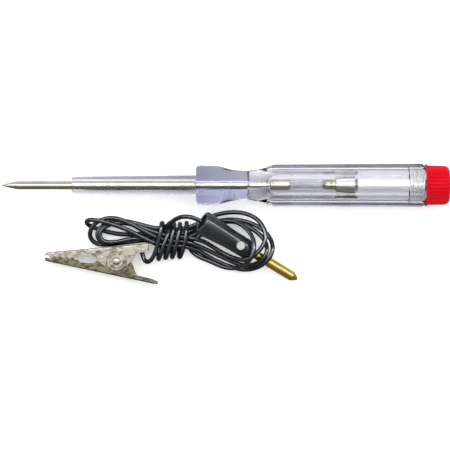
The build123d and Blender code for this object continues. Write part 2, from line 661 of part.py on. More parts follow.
# ------------------------------------------------------------------- the lead
# Centreline of the flexible lead as it lies: from inside the plug, back and
# forth in hanks, in wraps around their middle, then into the clip.
# Each row is a point on the centreline (x, y, z) and the direction it runs in;
# two arcs that meet smoothly join each pair of points.
LEAD_NODES = [
    (-86.8007, -22.0291, 1.9028, -0.82643, 0.49911, 0.26060),
    (-99.1903, -14.5693, 5.7722, -0.82171, 0.50998, 0.25437),
    (-104.4845, -12.6029, 5.9329, -0.94797, 0.07964, -0.30823),
    (-110.1471, -14.0657, 1.2195, -0.57655, -0.38710, -0.71954),
    (-112.9977, -16.2627, -2.0520, -0.63097, -0.45103, -0.63123),
    (-115.2775, -17.1490, -3.7039, -0.89243, -0.10242, -0.43941),
    (-121.9931, -16.1643, -5.4045, -0.96250, 0.25646, -0.08842),
    (-131.8074, -14.2632, -5.6700, -0.99951, -0.00470, 0.03098),
    (-139.3058, -16.6203, -5.4986, -0.75674, -0.65371, -0.00114),
    (-140.8314, -20.8202, -5.5609, 0.35071, -0.93629, -0.01887),
    (-135.9331, -23.0758, -5.6045, 0.99923, 0.03936, 0.00021),
    (-128.0257, -21.6503, -5.7351, 0.97639, 0.21294, -0.03641),
    (-120.1144, -20.5391, -5.7835, 0.99723, 0.04848, 0.05650),
    (-114.1232, -20.2646, -5.5168, 0.99737, 0.06991, -0.01910),
    (-106.2085, -19.1716, -5.3916, 0.96653, 0.24319, -0.08176),
    (-99.7842, -16.9110, -6.9185, 0.92229, 0.34893, -0.16620),
    (-91.2735, -14.0954, -7.1718, 0.98253, 0.18056, 0.04513),
    (-78.7140, -15.4154, -5.1811, 0.87674, -0.37591, 0.30002),
    (-71.6705, -21.2145, -1.4000, 0.45452, -0.78549, 0.42003),
    (-71.1680, -27.4422, 0.9981, -0.37451, -0.91121, 0.17159),
    (-74.8349, -31.8009, 0.2232, -0.73939, -0.49328, -0.45824),
    (-80.1572, -33.7420, -3.7882, -0.81823, -0.09738, -0.56659),
    (-86.4346, -32.9982, -6.3655, -0.94995, 0.27943, -0.13969),
    (-94.6896, -29.5988, -6.1139, -0.87053, 0.47771, 0.11819),
    (-100.6217, -26.1859, -4.8175, -0.87344, 0.42571, 0.23637),
    (-106.1950, -24.5300, -3.7355, -0.98811, 0.11468, 0.10239),
    (-115.0972, -23.8528, -3.2746, -0.97600, 0.19625, 0.09438),
    (-122.4529, -21.0034, -2.3077, -0.88824, 0.45885, 0.02202),
    (-129.6546, -17.5080, -2.2702, -0.92395, 0.37956, 0.04745),
    (-138.2276, -14.6771, -1.4531, -0.96432, 0.25498, 0.07125),
    (-143.0985, -13.8479, -1.9115, -0.92980, 0.00037, -0.36805),
    (-145.3066, -14.7744, -4.4457, -0.01664, -0.47752, -0.87846),
    (-142.4690, -16.9340, -7.1497, 0.90419, -0.37518, -0.20416),
    (-137.7160, -18.4782, -7.3788, 0.96921, -0.24625, 0.00174),
    (-125.8040, -19.6360, -7.2549, 0.99602, 0.07762, 0.04378),
    (-118.9424, -18.6963, -6.2718, 0.96130, 0.10037, 0.25658),
    (-113.0781, -18.2181, -5.0655, 0.99286, 0.10504, 0.05656),
    (-106.1567, -17.2869, -5.0023, 0.98046, 0.19650, -0.00890),
    (-99.6738, -14.8319, -5.2794, 0.86926, 0.49388, -0.02157),
    (-93.3818, -11.8591, -5.0778, 0.95461, 0.28743, 0.07808),
    (-83.6704, -10.9220, -3.3046, 0.94736, -0.11215, 0.29988),
    (-74.5551, -16.5424, 1.1181, 0.45703, -0.82516, 0.33202),
    (-74.1140, -22.9977, 3.0462, -0.37156, -0.89915, 0.23126),
    (-77.7796, -27.7363, 4.0634, -0.76116, -0.64824, 0.02046),
    (-81.1478, -29.6275, 3.0485, -0.83613, -0.22561, -0.49999),
    (-86.0347, -29.0803, -0.8016, -0.78887, 0.25634, -0.55854),
    (-92.9876, -25.6971, -3.4402, -0.83715, 0.54196, -0.07393),
    (-99.1268, -22.2625, -3.1302, -0.93511, 0.34443, 0.08334),
    (-108.9417, -20.5483, -3.4889, -0.99481, 0.07942, -0.06358),
    (-117.7393, -18.8305, -3.7383, -0.95135, 0.30777, -0.01427),
    (-129.1938, -15.2704, -4.0438, -0.99073, 0.13540, -0.01128),
    (-137.0471, -16.2292, -3.7782, -0.89334, -0.44834, 0.03054),
    (-139.7770, -20.7085, -3.7239, 0.32061, -0.94720, -0.00480),
    (-134.8866, -22.8206, -3.7243, 0.99726, 0.07394, 0.00059),
    (-127.9677, -21.6080, -3.8294, 0.98805, 0.15005, -0.03522),
    (-121.0557, -21.6468, -4.2643, 0.98588, -0.13807, -0.09476),
    (-115.1778, -22.1868, -5.1159, 0.98708, 0.00910, -0.15997),
    (-107.2762, -21.3155, -5.5162, 0.98252, 0.18618, 0.00021),
    (-99.7927, -18.6364, -5.8148, 0.89046, 0.45476, -0.01660),
    (-90.6051, -14.8008, -5.2913, 0.97443, 0.19105, 0.11822),
    (-77.7213, -18.1816, -2.4475, 0.77141, -0.55822, 0.30547),
    (-73.4251, -23.0223, 0.0583, 0.36888, -0.84230, 0.39302),
    (-73.7959, -28.3411, 1.6338, -0.53438, -0.84520, 0.00863),
    (-77.1925, -31.2607, 0.1510, -0.75189, -0.36076, -0.55183),
    (-82.0269, -32.0117, -3.1433, -0.89267, 0.10525, -0.43825),
    (-91.1566, -28.6201, -4.4179, -0.90194, 0.42562, 0.07311),
    (-100.2050, -24.4025, -3.6644, -0.91268, 0.40639, 0.04309),
    (-105.9045, -22.6644, -3.6434, -0.99204, 0.12120, -0.03409),
    (-112.8778, -22.0150, -3.5200, -0.98120, 0.17617, 0.07883),
    (-121.2379, -18.8659, -2.3554, -0.87233, 0.47855, 0.10012),
    (-129.2204, -14.6053, -2.2750, -0.90703, 0.40589, -0.11208),
    (-136.8960, -13.2239, -3.8637, -0.97343, -0.13228, -0.18692),
    (-142.8375, -16.4407, -4.9393, -0.60560, -0.77644, -0.17432),
    (-143.3996, -21.6701, -6.4410, 0.53061, -0.80301, -0.27134),
    (-137.2767, -23.7457, -7.3667, 0.99730, 0.07088, -0.01916),
    (-129.3045, -22.8579, -7.3800, 0.99377, 0.11144, -0.00008),
    (-123.3823, -22.1276, -7.2154, 0.99119, 0.08641, 0.10034),
    (-119.6002, -22.5591, -6.5017, 0.89485, -0.37490, 0.24226),
    (-116.0470, -24.0295, -5.5064, 0.95356, -0.23731, 0.18548),
    (-109.1474, -23.8019, -5.4969, 0.98000, 0.19360, -0.04604),
    (-102.4561, -21.7692, -5.0401, 0.88389, 0.42718, 0.19042),
    (-96.8120, -17.7598, -4.0211, 0.78816, 0.61006, 0.08145),
    (-89.8812, -14.3116, -2.9250, 0.94730, 0.14802, 0.28409),
    (-81.0246, -17.5473, 1.9030, 0.61772, -0.62457, 0.47785),
    (-78.1885, -25.0885, 5.4637, -0.09213, -0.96342, 0.25168),
    (-80.3650, -30.3963, 5.0661, -0.53023, -0.63115, -0.56614),
    (-82.5960, -32.1206, 1.9920, -0.56914, -0.29187, -0.76869),
    (-88.0717, -33.1574, -2.5855, -0.90455, 0.08966, -0.41683),
    (-95.5080, -30.5875, -4.3594, -0.90775, 0.39892, -0.12985),
    (-100.8450, -28.1907, -5.6329, -0.82131, 0.48023, -0.30795),
    (-104.0504, -24.8756, -7.0129, -0.40667, 0.89296, -0.19296),
    (-105.0601, -19.0515, -7.3800, -0.05370, 0.99849, 0.01117),
    (-105.1216, -15.1597, -5.3689, 0.02011, 0.27696, 0.96067),
    (-105.1418, -18.3997, -1.4171, -0.07094, -0.95804, 0.27773),
    (-106.1689, -24.3696, -1.1199, -0.25671, -0.95645, -0.13895),
    (-107.5819, -28.4452, -3.1897, -0.27414, -0.50749, -0.81688),
    (-108.1358, -27.8939, -6.3655, -0.02016, 0.76744, -0.64081),
    (-108.0037, -23.2131, -7.3800, 0.02880, 0.99958, 0.00354),
    (-107.9209, -19.1794, -7.3408, 0.01766, 0.99685, 0.07726),
    (-107.8171, -15.4993, -4.9887, 0.01511, 0.20034, 0.97961),
    (-108.1802, -18.9954, -1.2564, -0.15114, -0.96139, 0.22997),
    (-109.5147, -24.9168, -1.2283, -0.26388, -0.94483, -0.19407),
    (-110.5509, -28.2575, -2.9176, -0.23753, -0.62470, -0.74386),
    (-111.0059, -28.2530, -6.1439, 0.00917, 0.67998, -0.73317),
    (-110.6928, -23.7121, -7.3800, 0.06890, 0.99762, -0.00128),
    (-110.4444, -19.6787, -7.3570, 0.05999, 0.99690, 0.05086),
    (-110.1323, -15.6440, -5.3461, 0.05520, 0.38865, 0.91973),
    (-110.1701, -16.7567, -2.1771, -0.08680, -0.80320, 0.58935),
    (-111.0280, -21.4486, -0.9440, -0.24003, -0.97045, 0.02458),
    (-112.7335, -27.1611, -1.9020, -0.29354, -0.85382, -0.42990),
    (-113.6220, -29.1458, -4.6841, -0.11802, 0.05327, -0.99158),
    (-113.4035, -25.8238, -7.3093, 0.11049, 0.98717, -0.11525),
    (-113.0328, -21.8370, -7.3800, 0.07331, 0.99731, 0.00000),
    (-112.7425, -17.8696, -7.3502, 0.09415, 0.99265, 0.07606),
    (-112.1464, -15.2892, -5.5678, 0.22433, 0.03108, 0.97402),
    (-111.9581, -17.5441, -2.9739, -0.16031, -0.83866, 0.52053),
    (-113.1530, -21.0327, -1.4453, -0.34609, -0.91646, 0.20079),
    (-115.1462, -26.7328, -1.5693, -0.31473, -0.90587, -0.28345),
    (-116.4326, -29.5319, -4.6973, -0.14039, 0.08069, -0.98680),
    (-116.1798, -26.1493, -7.3038, 0.15313, 0.98133, -0.11639),
    (-115.5342, -22.1457, -7.3800, 0.15490, 0.98793, 0.00000),
    (-114.8212, -16.3794, -6.2813, 0.04251, 0.78368, 0.61971),
    (-115.0940, -15.5740, -2.1604, -0.10939, -0.62191, 0.77541),
    (-115.5394, -19.0909, -0.7541, -0.15810, -0.98559, 0.06010),
    (-117.0628, -24.9810, -1.2847, -0.31496, -0.93711, -0.15043),
    (-119.0088, -29.4496, -2.3806, -0.53998, -0.76475, -0.35153),
    (-121.5814, -30.4019, -4.1413, -0.70659, 0.51576, -0.48448),
    (-122.7441, -28.0907, -4.7997, -0.22650, 0.97332, -0.03659),
    (-123.5054, -26.2752, -4.8000, -0.69930, 0.71482, 0.00060),
    (-126.3200, -25.6200, -4.8000, -0.99839, -0.05670, 0.00006),
]
LEAD_PATH = [(Vector(*row[:3]), Vector(*row[3:]).normalized()) for row in LEAD_NODES]
LEAD_GROUP = 10            # pairs of arcs in each solid length of lead


def lead_arcs(nodes):
    """(start, start direction, end) of the two arcs between each pair of nodes."""
    arcs = []
    for (start, start_dir), (end, end_dir) in zip(nodes, nodes[1:]):
        span = end - start
        along = span.dot(start_dir + end_dir)
        turning = 2 * (1 - start_dir.dot(end_dir))
        # reach: equal tangent length at both ends, which makes the arcs meet smoothly
        if turning < 1e-9:
            reach = span.dot(span) / (2 * along)
        else:
            reach = (-along + (along * along + turning * span.dot(span)) ** 0.5) / turning
        middle = (start + end + (start_dir - end_dir) * reach) * 0.5
        chord = middle - start
        middle_dir = chord * (2 * chord.dot(start_dir) / chord.dot(chord)) - start_dir
        arcs.append((start, start_dir, middle))
        arcs.append((middle, middle_dir.normalized(), end))
    return arcs


def build_lead_length(nodes):
    """One solid length of lead: a straight or a bend for each arc."""
    with BuildPart() as length:
        for start, heading, end in lead_arcs(nodes):
            chord = end - start
            across = chord - heading * chord.dot(heading)
            with BuildSketch(Plane(origin=start, z_dir=heading)):
                Circle(CABLE_R)
            if across.length < 1e-4 * chord.length:
                extrude(amount=chord.length)
            else:
                out = across.normalized()
                bend_r = chord.dot(chord) / (2 * across.length)
                centre = start + out * bend_r
                turn = 2 * asin(min(1.0, chord.length / (2 * bend_r)))
                bend_axis = Axis((centre.X, centre.Y, centre.Z), tuple(heading.cross(out)))
                revolve(axis=bend_axis, revolution_arc=degrees(turn))
    return length.part


# the lengths meet end to end, so the lead is one node of touching solids
cable_jacket = Compound(children=[
    build_lead_length(LEAD_PATH[first:first + LEAD_GROUP + 1])
    for first in range(0, len(LEAD_PATH) - 1, LEAD_GROUP)
])

# bared conductor at each end of the lead: one in the pin's wire hole, one
# under the clip's spine
plug_end, plug_end_dir = LEAD_PATH[0]
clip_end, clip_end_dir = LEAD_PATH[-1]
with BuildPart() as conductor_ends:
    for end, outward, bare_len in (
        (plug_end, plug_end_dir * -1, 3.4),
        (clip_end, clip_end_dir, 2.6),
    ):
        with BuildSketch(Plane(origin=end + outward * 0.02, z_dir=outward)):
            Circle(CORE_R)
        extrude(amount=bare_len)

# ------------------------------------------------------------------- exports
PIECES = {
    "probe_rod": probe_rod.part,
    "probe_sleeve": probe_sleeve.part,
    "handle_body": handle_body.part,
    "lamp_front_cap": lamp_front_cap,
    "lamp_glass": lamp_glass.part,
    "lamp_rear_cap": lamp_rear_cap.part,
    "lamp_wires": lamp_wires,
    "lamp_filament": lamp_filament,
    "contact_plunger": contact_plunger,
    "contact_collar": contact_collar,
    "contact_spring": contact_spring,
    "socket_tube": socket_tube.part,
    "end_cap": end_cap.part,
    "plug_pin": plug_pin.part,
    "plug_sleeve": plug_sleeve.part,
    "plug_screw": plug_screw.part,
    "clip_upper_jaw": clip_upper_jaw,
    "clip_lower_jaw": clip_lower_jaw,
    "clip_rivet": clip_rivet,
    "conductor_ends": conductor_ends.part,
    "clip_spring": clip_spring.part,
    "cable_jacket": cable_jacket,
}
for name, piece in PIECES.items():
    piece.label = name
    export_step(piece, f"parts/{name}.step")
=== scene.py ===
"""A lamp tester: a clear handle with probe, lamp and sprung contact, a plug, and a looped
lead that ends in a spring clip.

Sizes are in millimetres unless noted; MM turns them into metres. +Z is up and -Y is the
front. The handle's axis is the X axis, and the lead and clip lie on the table in front of it.
"""
import math
import bpy
import numpy as np
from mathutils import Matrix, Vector

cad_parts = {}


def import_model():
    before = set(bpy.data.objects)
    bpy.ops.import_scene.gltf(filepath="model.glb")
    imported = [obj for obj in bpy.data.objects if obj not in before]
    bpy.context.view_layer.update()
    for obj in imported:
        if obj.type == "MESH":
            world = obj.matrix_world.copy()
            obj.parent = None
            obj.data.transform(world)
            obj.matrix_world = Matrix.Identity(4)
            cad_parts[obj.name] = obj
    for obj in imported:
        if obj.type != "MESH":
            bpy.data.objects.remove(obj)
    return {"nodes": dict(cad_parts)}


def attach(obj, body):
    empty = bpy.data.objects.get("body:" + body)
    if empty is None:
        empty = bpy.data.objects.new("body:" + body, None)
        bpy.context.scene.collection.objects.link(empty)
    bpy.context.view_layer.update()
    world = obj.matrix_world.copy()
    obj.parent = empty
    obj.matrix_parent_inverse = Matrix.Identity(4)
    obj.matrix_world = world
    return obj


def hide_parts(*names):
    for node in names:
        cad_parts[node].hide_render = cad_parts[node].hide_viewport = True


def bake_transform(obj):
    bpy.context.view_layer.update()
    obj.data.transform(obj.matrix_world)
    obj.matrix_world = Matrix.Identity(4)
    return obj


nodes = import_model()["nodes"]
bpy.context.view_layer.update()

MM = 0.001
TABLE_Z = -8.30

LEAD_RADIUS = 0.9

# contact spring, round the X axis between two seats
SEAT_LEFT_X, SEAT_RIGHT_X = -37.7, -24.0
SEAT_GAP = 0.03
CONTACT_RADIUS, CONTACT_WIRE = 3.3, 0.3  # coil centreline and wire radii
CONTACT_TURNS = 9.5
CLOSED_TURNS = 1.25  # at each end
CLOSED_PITCH = 0.62

# clip and its torsion spring; u runs along the clip, v across it, both level
CLIP_PIVOT = Vector((-133.12, -30.30, TABLE_Z + 4.20))
CLIP_TURN = math.radians(-3.4)
CLIP_U = Vector((math.cos(CLIP_TURN), math.sin(CLIP_TURN), 0))
CLIP_V = Vector((-math.sin(CLIP_TURN), math.cos(CLIP_TURN), 0))
COIL_RADIUS, COIL_WIRE, COIL_HEIGHT = 1.85, 0.28, 2.2
COIL_TURNS = 3.5
COIL_POINTS = 260
LEG_TIP_U = 10.5
SPINE_START_U, SPINE_START_V, SPINE_SLOPE = -28.3, 1.75, 0.1490  # line of the jaw's spine
SPINE_INSET, LEG_GAP = 0.6, 0.12  # from the spine line in to the leg's surface

# lamp filament, an arched fine coil
FILAMENT_LEFT = np.array([-59.15, 0.72, 0.66])
FILAMENT_RIGHT = np.array([-54.9, -0.72, 0.66])
FILAMENT_RISE = 0.75
FILAMENT_RADIUS, FILAMENT_WIRE, FILAMENT_TURNS = 0.17, 0.045, 22


# ------------------------------------------------------------------ node trees
def rgba(colour):
    return (*colour, 1.0)


class Nodes:
    """Adds nodes to one tree. An input given a socket is linked, any other value is set."""

    def __init__(self, tree):
        self.tree = tree

    def feed(self, node, inputs):
        for key, value in inputs.items():
            if isinstance(value, bpy.types.NodeSocket):
                self.tree.links.new(value, node.inputs[key])
            else:
                node.inputs[key].default_value = value

    def node(self, kind, inputs={}, **settings):
        node = self.tree.nodes.new(kind)
        for key, value in settings.items():
            setattr(node, key, value)
        self.feed(node, inputs)
        return node

    def ramp(self, fac, stops):
        """Colours (r, g, b) at rising positions; the first and last use the ramp's own stops."""
        node = self.node("ShaderNodeValToRGB", {"Fac": fac})
        elements = node.color_ramp.elements
        for index in (0, -1):
            elements[index].position = stops[index][0]
            elements[index].color = rgba(stops[index][1])
        for position, colour in stops[1:-1]:
            elements.new(position).color = rgba(colour)
        return node.outputs["Color"]

    def remap(self, value, to, over=(0.3, 0.7)):
        return self.node("ShaderNodeMapRange", {
            "From Min": over[0], "From Max": over[1],
            "To Min": to[0], "To Max": to[1], "Value": value}).outputs["Result"]


class Material(Nodes):
    """A material built round its Principled shader, textured in object coordinates."""

    def __init__(self, name):
        self.material = bpy.data.materials.new(name)
        self.material.use_nodes = True
        super().__init__(self.material.node_tree)
        self.principled = self.find("BSDF_PRINCIPLED")
        self.coords = self.node("ShaderNodeTexCoord").outputs["Object"]

    def find(self, kind):
        return next(node for node in self.tree.nodes if node.type == kind)

    def noise(self, scale=1.0, stretch=(1, 1, 1), turn=(0, 0, 0), detail=4.0, rough=0.5,
              distortion=0.0):
        mapping = self.node("ShaderNodeMapping", {
            "Scale": stretch, "Rotation": turn, "Vector": self.coords})
        return self.node("ShaderNodeTexNoise", {
            "Scale": scale, "Detail": detail, "Roughness": rough, "Distortion": distortion,
            "Vector": mapping.outputs["Vector"]}).outputs["Fac"]

    def bump(self, height, strength, distance, over=None):
        """A bump, laid over another bump's normal if given; distance is in metres."""
        inputs = {"Strength": strength, "Distance": distance, "Height": height}
        if over is not None:
            inputs["Normal"] = over
        return self.node("ShaderNodeBump", inputs).outputs["Normal"]

    def set(self, **values):
        self.feed(self.principled, {key.replace("_", " "): v for key, v in values.items()})


# ------------------------------------------------------------------- materials
# A rough pair holds the lowest and highest roughness.
def clear_plastic(name, tint, deep, rough, absorb, density):
    m = Material(name)
    depth = m.node("ShaderNodeVolumeAbsorption", {"Color": rgba(absorb), "Density": density})
    m.feed(m.find("OUTPUT_MATERIAL"), {"Volume": depth.outputs["Volume"]})
    flow = m.noise(stretch=(60, 180, 180), detail=3.0, distortion=0.3)
    haze = m.noise(scale=900.0, detail=5.0, rough=0.6)
    scuff = m.noise(stretch=(200, 1400, 1400), turn=(0, 0, 0.2), detail=2.0)
    m.set(Base_Color=m.ramp(flow, [(0.35, deep), (0.65, tint)]),
          Roughness=m.remap(haze, to=(rough, rough + 0.05), over=(0.45, 0.75)),
          Transmission_Weight=1.0, IOR=1.49, Specular_IOR_Level=0.5)
    waves = m.bump(flow, strength=0.06, distance=0.0004)
    m.set(Normal=m.bump(scuff, strength=0.03, distance=0.00002, over=waves))
    return m.material


def glass(name):
    m = Material(name)
    wave = m.noise(scale=320.0, detail=2.0)
    m.set(Base_Color=m.ramp(wave, [(0.3, (0.965, 0.975, 0.98)), (0.7, (0.99, 0.99, 0.99))]),
          Roughness=0.01, Transmission_Weight=1.0, IOR=1.46,
          Normal=m.bump(wave, strength=0.1, distance=0.0001))
    return m.material


def metal(name, light, dark, rough, marks=(1500, 1500, 1500), mark_depth=0.06, level=1.0):
    """Plated or turned metal; marks is the scale that stretches the noise into tool marks."""
    m = Material(name)
    blot = m.noise(scale=240.0, detail=6.0, rough=0.62, distortion=0.4)
    fine = m.noise(stretch=marks, rough=0.6)
    m.set(Base_Color=m.ramp(blot, [(0.3, dark), (0.62, light)]), Metallic=level,
          Roughness=m.remap(blot, to=rough[::-1], over=(0.35, 0.65)))
    tooled = m.bump(fine, strength=mark_depth, distance=0.00003)
    m.set(Normal=m.bump(blot, strength=0.08, distance=0.00005, over=tooled))
    return m.material


def sheet(name, light, dark, rough):
    """Plated pressed sheet: shallow dents and draw marks make its reflections patchy."""
    m = Material(name)
    blot = m.noise(stretch=(1.0, 1.6, 1.0), scale=380.0, detail=5.0, rough=0.6, distortion=0.5)
    dent = m.noise(scale=430.0, detail=2.0, distortion=0.3)
    draw = m.noise(stretch=(2300, 240, 500), detail=3.0, rough=0.55)
    fine = m.noise(stretch=(300, 5200, 5200), detail=3.0, rough=0.6)
    m.set(Base_Color=m.ramp(blot, [(0.38, dark), (0.58, light)]), Metallic=1.0,
          Roughness=m.remap(blot, to=rough[::-1], over=(0.35, 0.65)))
    dented = m.bump(dent, strength=1.0, distance=0.00015)
    drawn = m.bump(draw, strength=0.7, distance=0.00002, over=dented)
    m.set(Normal=m.bump(fine, strength=0.05, distance=0.00002, over=drawn))
    return m.material


def plastic(name, light, dark, rough, spec, grain=2200.0, cloud_scale=90.0, coat=0.0):
    m = Material(name)
    cloud = m.noise(scale=cloud_scale, rough=0.55, distortion=0.2)
    micro = m.noise(scale=grain, detail=3.0, rough=0.6)
    m.set(Base_Color=m.ramp(cloud, [(0.3, dark), (0.7, light)]),
          Roughness=m.remap(cloud, to=rough), Specular_IOR_Level=spec)
    if coat:
        m.set(Coat_Weight=coat, Coat_Roughness=0.12, Specular_Tint=rgba((0.82, 0.92, 1.0)))
    grained = m.bump(micro, strength=0.10, distance=0.00004)
    m.set(Normal=m.bump(cloud, strength=0.08, distance=0.0003, over=grained))
    return m.material


YELLOWED = dict(light=(0.48, 0.46, 0.30), dark=(0.24, 0.22, 0.10), rough=(0.14, 0.28))
part_materials = {
    "handle_body": clear_plastic(
        "clear_lilac_acrylic", tint=(0.97, 0.97, 0.99), deep=(0.945, 0.945, 0.975),
        rough=0.015, absorb=(0.30, 0.325, 0.62), density=38.0),
    "probe_sleeve": clear_plastic(
        "clear_tube", tint=(0.975, 0.975, 0.98), deep=(0.945, 0.945, 0.955),
        rough=0.02, absorb=(0.34, 0.36, 0.50), density=100.0),
    "probe_rod": metal("probe_nickel", light=(0.80, 0.75, 0.67), dark=(0.62, 0.57, 0.49),
                       rough=(0.15, 0.28), marks=(5200, 300, 300)),
    "lamp_front_cap": metal("lamp_cap_nickel", light=(0.64, 0.60, 0.55),
                            dark=(0.42, 0.39, 0.34), rough=(0.14, 0.28),
                            marks=(7000, 200, 200)),
    "lamp_rear_cap": metal("lamp_rear_nickel", **YELLOWED, marks=(7000, 200, 200)),
    "lamp_glass": glass("lamp_glass_clear"),
    "lamp_wires": metal("lead_in_wire", light=(0.45, 0.42, 0.38), dark=(0.25, 0.23, 0.21),
                        rough=(0.25, 0.4)),
    "contact_plunger": metal("contact_nickel", **YELLOWED, marks=(6000, 200, 200)),
    "contact_collar": metal("contact_collar_nickel", light=(0.76, 0.75, 0.71),
                            dark=(0.48, 0.46, 0.41), rough=(0.14, 0.24),
                            marks=(6000, 200, 200)),
    "socket_tube": metal("socket_bright_zinc", light=(0.97, 0.965, 0.95),
                         dark=(0.92, 0.91, 0.88), rough=(0.36, 0.46),
                         marks=(5200, 150, 150), level=0.45),
    "end_cap": plastic("cap_red_abs", light=(0.62, 0.0015, 0.011), dark=(0.54, 0.001, 0.008),
                       rough=(0.40, 0.52), spec=0.07),
    "plug_pin": metal("pin_turned_brass", light=(0.92, 0.75, 0.25), dark=(0.66, 0.48, 0.10),
                      rough=(0.14, 0.26), marks=(900, 900, 900), mark_depth=0.08),
    "plug_sleeve": plastic("plug_black_moulding", light=(0.018, 0.021, 0.023),
                           dark=(0.009, 0.010, 0.012), rough=(0.13, 0.22), spec=0.55,
                           coat=0.3),
    "plug_screw": metal("screw_zinc", light=(0.80, 0.81, 0.81), dark=(0.50, 0.51, 0.51),
                        rough=(0.28, 0.42), marks=(2500, 2500, 2500), level=0.7),
    "clip_upper_jaw": sheet("clip_nickel_sheet", light=(0.62, 0.585, 0.52),
                            dark=(0.22, 0.18, 0.13), rough=(0.14, 0.28)),
    "clip_rivet": metal("rivet_nickel", light=(0.80, 0.76, 0.70), dark=(0.56, 0.50, 0.42),
                        rough=(0.2, 0.34), marks=(2200, 2200, 2200)),
    "conductor_ends": metal("copper_tinned", light=(0.80, 0.52, 0.34),
                            dark=(0.55, 0.30, 0.18), rough=(0.22, 0.38),
                            marks=(2400, 2400, 2400)),
    # lower jaw: a darker copy of the clip's plated sheet, painted shade for where it lies under
    # the upper jaw
    "clip_lower_jaw": sheet("clip_sheet_painted_shade", light=(0.27, 0.245, 0.17),
                            dark=(0.085, 0.072, 0.035), rough=(0.16, 0.32)),
}
spring_steel = metal("spring_wire", light=(0.62, 0.60, 0.56), dark=(0.36, 0.34, 0.31),
                     rough=(0.2, 0.34), marks=(3000, 3000, 3000))
black_pvc = plastic("lead_black_pvc", light=(0.014, 0.015, 0.019), dark=(0.007, 0.007, 0.010),
                    rough=(0.13, 0.22), spec=0.55, grain=3600.0, cloud_scale=260.0, coat=0.3)
tungsten = metal("tungsten_coil", light=(0.30, 0.28, 0.26), dark=(0.16, 0.15, 0.14),
                 rough=(0.3, 0.45))

for part, material in part_materials.items():
    nodes[part].data.materials.clear()
    nodes[part].data.materials.append(material)


# ------------------------------------------------------------- tubes and coils
def smooth_curve(points, step):
    """Catmull-Rom curve through the points, sampled about every step."""
    p = np.array([tuple(point) for point in points], float)
    p = np.vstack([2 * p[0] - p[1], p, 2 * p[-1] - p[-2]])
    out = []
    for before, start, end, after in zip(p[:-3], p[1:-2], p[2:-1], p[3:]):
        count = max(2, int(round(np.linalg.norm(end - start) / step)))
        t = np.arange(count)[:, None] / count
        out.append(0.5 * (2 * start + (end - before) * t
                          + (2 * before - 5 * start + 4 * end - after) * t ** 2
                          + (3 * start - before - 3 * end + after) * t ** 3))
    out.append(p[-2][None, :])
    return np.vstack(out)


def tube(name, centreline, radius, sides, material, wobble=0.0):
    """A capped tube of quads, carried along its centreline without twist."""
    points = np.array(centreline, float)
    along = np.gradient(points, axis=0)
    along /= np.linalg.norm(along, axis=1)[:, None]
    up = [0, 0, 1.0] if abs(along[0][2]) < 0.9 else [1.0, 0, 0]
    side = np.cross(along[0], up)
    side /= np.linalg.norm(side)
    steps = np.linalg.norm(np.diff(points, axis=0), axis=1)
    length = np.concatenate([[0], np.cumsum(steps)])
    angle = (np.arange(sides) * 2 * math.pi / sides)[:, None]
    rings = []
    for i in range(len(points)):
        if i:
            axis = np.cross(along[i - 1], along[i])
            sine = np.linalg.norm(axis)
            if sine > 1e-9:
                axis /= sine
                bend = math.atan2(sine, float(np.dot(along[i - 1], along[i])))
                side = (side * math.cos(bend) + np.cross(axis, side) * math.sin(bend)
                        + axis * np.dot(axis, side) * (1 - math.cos(bend)))
            side -= along[i] * np.dot(side, along[i])
            side /= np.linalg.norm(side)
        other = np.cross(along[i], side)
        swell = 1 + wobble * math.sin(length[i] * 0.9) * math.cos(length[i] * 0.37)
        rings.append(points[i] + radius * swell * (np.cos(angle) * side + np.sin(angle) * other))
    last = (len(points) - 1) * sides
    faces = [(i + k, i + (k + 1) % sides, i + sides + (k + 1) % sides, i + sides + k)
             for i in range(0, last, sides) for k in range(sides)]
    faces.append(tuple(range(sides - 1, -1, -1)))
    faces.append(tuple(range(last, last + sides)))
    mesh = bpy.data.meshes.new(name)
    mesh.from_pydata([tuple(v) for v in np.vstack(rings) * MM], [], faces)
    mesh.validate()
    for face in mesh.polygons:
        face.use_smooth = len(face.vertices) == 4
    mesh.materials.append(material)
    obj = bpy.data.objects.new(name, mesh)
    bpy.context.scene.collection.objects.link(obj)
    return obj


